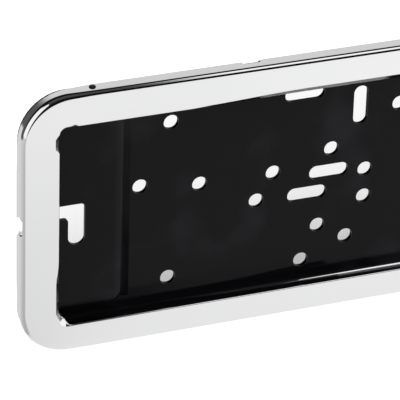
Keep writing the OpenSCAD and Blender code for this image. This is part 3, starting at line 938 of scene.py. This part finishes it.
def pressed_bezel():
    tree = bpy.data.node_groups.new("pressed_bezel", "GeometryNodeTree")
    tree.is_modifier = True
    group_socket(tree, "Bezel", "NodeSocketGeometry", "OUTPUT")
    group_socket(tree, "Start", "NodeSocketGeometry")
    for name in ("Outer edge", "Window edge", "Flange profile", "Lip profile", "Cutters"):
        group_socket(tree, name, "NodeSocketObject")
    for name, value in (("Sheet", SHEET), ("Flange depth", 8.2 * MM), ("Lip depth", 5.6 * MM),
                        ("Flange nose", FLANGE_NOSE), ("Hem", HEM), ("Face level", FACE_LEVEL)):
        group_socket(tree, name, "NodeSocketFloat", value=value)
    group_socket(tree, "Finish", "NodeSocketMaterial")
    given = add_node(tree, "NodeGroupInput").outputs
    edges = [add_node(tree, "GeometryNodeGroup", node_tree=swept_edge_group) for _ in range(2)]
    for edge, names in zip(edges, (("Outer edge", "Flange profile", "Flange nose", "Flange depth"),
                                   ("Window edge", "Lip profile", "Hem", "Lip depth"))):
        for socket, name in zip(("Path", "Profile", "Nose", "Lip depth"), names):
            tree.links.new(given[name], edge.inputs[socket])
        tree.links.new(given["Sheet"], edge.inputs["Sheet"])
    outer, window = edges
    rims = add_node(tree, "GeometryNodeJoinGeometry")
    for edge in edges:
        tree.links.new(edge.outputs["Rim"], rims.inputs[0])
    front = add_node(tree, "GeometryNodeFillCurve", {"Curve": rims.outputs[0]}).outputs[0]
    shift = add_node(tree, "ShaderNodeCombineXYZ", {"Z": maths(tree, "MULTIPLY", given["Sheet"], -1.0)}).outputs[0]
    back = add_node(tree, "GeometryNodeTransform", {"Geometry": front, "Translation": shift}).outputs[0]
    back = add_node(tree, "GeometryNodeFlipFaces", {"Mesh": back}).outputs[0]
    turned = add_node(tree, "GeometryNodeFlipFaces", {"Mesh": window.outputs["Swept"]}).outputs[0]
    whole = add_node(tree, "GeometryNodeJoinGeometry")
    for part in (outer.outputs["Swept"], turned, front, back):
        tree.links.new(part, whole.inputs[0])
    sheet = add_node(tree, "GeometryNodeMergeByDistance", {"Geometry": whole.outputs[0], "Distance": 0.002 * MM}).outputs[0]
    lift = add_node(tree, "ShaderNodeCombineXYZ", {"Z": given["Face level"]}).outputs[0]
    sheet = add_node(tree, "GeometryNodeTransform", {"Geometry": sheet, "Translation": lift}).outputs[0]
    holes = add_node(tree, "GeometryNodeObjectInfo", {"Object": given["Cutters"]}).outputs["Geometry"]
    cut = add_node(tree, "GeometryNodeMeshBoolean", {"Mesh 1": sheet, "Mesh 2": holes},
                   operation="DIFFERENCE", solver="MANIFOLD").outputs[0]
    angle = add_node(tree, "GeometryNodeInputMeshEdgeAngle").outputs["Unsigned Angle"]
    sharp = add_node(tree, "FunctionNodeCompare", {"A": angle, "B": SHARP_ANGLE}, operation="GREATER_THAN").outputs[0]
    smooth = add_node(tree, "GeometryNodeSetShadeSmooth", {"Geometry": cut, "Shade Smooth": True}).outputs[0]
    smooth = add_node(tree, "GeometryNodeSetShadeSmooth", {
        "Geometry": smooth, "Selection": sharp, "Shade Smooth": False}, domain="EDGE").outputs[0]
    upright = add_node(tree, "GeometryNodeTransform", {"Geometry": smooth, "Rotation": (math.pi / 2, 0, 0)}).outputs[0]
    real = add_node(tree, "GeometryNodeRealizeInstances", {"Geometry": upright}).outputs[0]
    finished = add_node(tree, "GeometryNodeSetMaterial", {"Geometry": real, "Material": given["Finish"]}).outputs[0]
    add_node(tree, "NodeGroupOutput", {"Bezel": finished})
    return tree


def grown_piece(name, tree, inputs):
    """Runs a node tree on an empty mesh and keeps the result as a plain mesh object."""
    host = bpy.data.objects.new(name, bpy.data.meshes.new(name + "_start"))
    bpy.context.collection.objects.link(host)
    modifier = host.modifiers.new("grow", "NODES")
    modifier.node_group = tree
    sockets = {item.name: item.identifier for item in tree.interface.items_tree if item.in_out == "INPUT"}
    for label, value in inputs.items():
        modifier[sockets[label]] = value
    bpy.context.view_layer.update()
    evaluated = host.evaluated_get(bpy.context.evaluated_depsgraph_get())
    mesh = bpy.data.meshes.new_from_object(evaluated)
    host.modifiers.remove(modifier)
    host.data = mesh
    mesh.name = name
    return host


def closed_volume(mesh):
    """Volume in cubic millimetres, and how many edges don't have two faces."""
    form = bmesh.new()
    form.from_mesh(mesh)
    volume = form.calc_volume(signed=True) / MM ** 3
    loose = sum(len(edge.link_faces) != 2 for edge in form.edges)
    form.free()
    return round(volume, 1), loose


metal = polished_metal()
bezel = grown_piece("pressed_bezel", pressed_bezel(), {
    "Outer edge": outer_edge, "Window edge": window_edge, "Flange profile": flange_profile,
    "Lip profile": lip_profile, "Cutters": cutters, "Finish": metal})
for helper in (outer_edge, window_edge, flange_profile, lip_profile, cutters):
    bpy.data.objects.remove(helper)
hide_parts("front_bezel")
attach(bezel, "root")
print("bezel faces:", len(bezel.data.polygons), "volume and open edges:", closed_volume(bezel.data))

# %% [markdown]
# ## The tray
# The CAD tray has the true shape of the moulding, but its edges are perfectly sharp, and no
# moulded edge is. So a copy of its mesh gets a small rounded edge wherever two faces meet at
# a strong outer angle, and the rounded faces take a copy of the black with a strong specular.
# The real rounding together with that painted highlight gives each hole its thin light rim.
# Inside the holes the walls take a darker copy with little specular, which is painted shade.
# The CAD mesh is loose triangles, so the copy is merged first and its flat parts are joined
# into larger faces.

# %% Tray with rounded edges
EDGE_ROUND = 0.45 * MM
REAR_ZONE = 0.1 * MM
FLOOR_FRONT = 2.4 * MM
OUTER_ANGLE = math.radians(50)
FLAT_ANGLE = math.radians(0.5)
SHELL_INSIDE = 60 * MM
PAD_INSIDE, PAD_LEVELS = 216 * MM, (4.4 * MM, 5.8 * MM)


def rounded_tray(materials):
    form = bmesh.new()
    form.from_mesh(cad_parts["base_tray"].data)
    bmesh.ops.remove_doubles(form, verts=form.verts, dist=0.001 * MM)
    bmesh.ops.dissolve_limit(form, angle_limit=FLAT_ANGLE, verts=form.verts, edges=form.edges)
    corners = [edge for edge in form.edges if len(edge.link_faces) == 2 and edge.is_convex
               and edge.calc_face_angle() > OUTER_ANGLE and min(v.co.y for v in edge.verts) < -REAR_ZONE]
    # The rounded faces take material 1, the copy with a strong specular, a painted highlight
    bmesh.ops.bevel(form, geom=corners, offset=EDGE_ROUND, offset_type="OFFSET", segments=3, profile=0.5,
                    affect="EDGES", clamp_overlap=True, material=1)
    for face in form.faces:
        middle = face.calc_center_median()
        # Faces of the hole walls take material 2, the darker copy, which is painted shade
        if abs(face.normal.y) < 0.3 and middle.y > -FLOOR_FRONT and abs(middle.z) < SHELL_INSIDE:
            face.material_index = 2
        on_pad_outline = abs(middle.x) < PAD_INSIDE or abs(middle.z) > PAD_HALF_HEIGHT - 1 * MM
        if face.material_index == 1 and PAD_LEVELS[0] < -middle.y < PAD_LEVELS[1] and on_pad_outline:
            face.material_index = 0
    mesh = bpy.data.meshes.new("moulded_tray")
    form.to_mesh(mesh)
    form.free()
    for material in materials:
        mesh.materials.append(material)
    mesh.shade_smooth()
    mesh.set_sharp_from_angle(angle=SHARP_ANGLE)
    tray = bpy.data.objects.new("moulded_tray", mesh)
    bpy.context.collection.objects.link(tray)
    even = tray.modifiers.new("even", "WEIGHTED_NORMAL")
    even.keep_sharp = True
    even.weight = 100
    bpy.context.view_layer.update()
    tray.data = bpy.data.meshes.new_from_object(tray.evaluated_get(bpy.context.evaluated_depsgraph_get()))
    tray.data.name = "moulded_tray"
    tray.modifiers.remove(even)
    return tray, len(corners)


moulding = gloss_black("gloss_black_moulding", 0.12, 1.0)
# The rounded edges' copy has a strong specular: a painted highlight
edges = gloss_black("gloss_black_edges_painted_highlight", 1.0, 1.0)
# The hole walls' copy is darker and barely specular: painted shade
hole_walls_painted_shade = gloss_black("gloss_black_hole_walls", 0.03, 0.25)
tray, rounded = rounded_tray((moulding, edges, hole_walls_painted_shade))
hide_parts("base_tray")
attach(tray, "root")
print("edges rounded:", rounded, "faces:", len(tray.data.polygons), "volume and open edges:", closed_volume(tray.data))

# %% [markdown]
# ## Sizes and finish
# The view stays plain, so that a colour renders as it is written.

# %% Finish
bpy.context.scene.view_settings.view_transform = "Standard"
